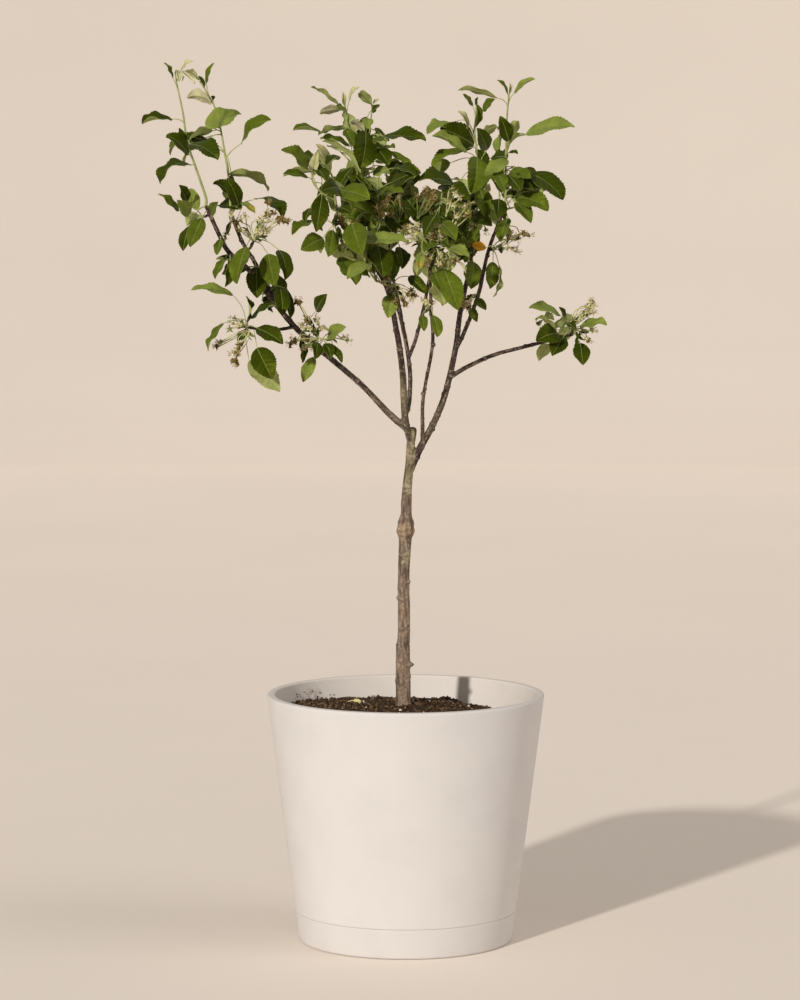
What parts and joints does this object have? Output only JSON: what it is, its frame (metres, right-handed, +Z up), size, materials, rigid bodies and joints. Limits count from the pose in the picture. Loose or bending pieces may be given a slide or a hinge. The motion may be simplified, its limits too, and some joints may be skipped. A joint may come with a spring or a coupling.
{
  "type": "potted dwarf apple tree",
  "caption": "Small grafted apple tree with a bare slim trunk and an open crown, standing in a round tapered planter filled with soil.",
  "frame": {"origin": "centre of the planter's flat underside, on the surface that it stands on", "axes": "+Z up, -Y towards the front, +X to the right seen from the front, with the longest limb of the crown towards -X"},
  "size_m": [0.5703, 0.3559, 1.1061],
  "materials": {
    "pot": "matte, faintly mottled warm off-white",
    "soil": "dark moist potting compost with crumbs, white grit and bits of bark",
    "bark": "rough grey-brown bark with scars, pinkish brown on the boughs",
    "leaf": "semi-matte olive to dark green leaves, paler below",
    "shoot": "downy yellow-green young shoots and leaf stalks",
    "blossom": "withered blossom: pale green stalks and cups with tan and rust-brown remains"
  },
  "bodies": {
    "root": {"pot": "pot", "pot_saucer": "pot", "soil": "soil", "trunk": "bark", "bough_centre_front": "bark", "bough_centre_back": "bark", "bough_centre_inner": "bark", "bough_centre_core": "bark", "bough_left": "bark", "bough_left_fork": "bark", "bough_left_spur": "bark", "bough_right": "bark", "bough_right_fork": "bark", "bough_right_long": "bark", "bough_front": "bark", "foliage_left_leader": "leaf", "foliage_left_second": "leaf", "foliage_left_outer": "leaf", "foliage_left_bend": "leaf", "foliage_left_hanging": "leaf", "foliage_left_spur": "leaf", "foliage_centre_left": "leaf", "foliage_centre_front": "leaf", "foliage_centre_low": "leaf", "foliage_centre_core": "leaf", "foliage_centre_back": "leaf", "foliage_front": "leaf", "foliage_front_low": "leaf", "foliage_inner": "leaf", "foliage_right_back": "leaf", "foliage_right_leader": "leaf", "foliage_right_low": "leaf", "foliage_far_right": "leaf"}
  },
  "joints": []
}
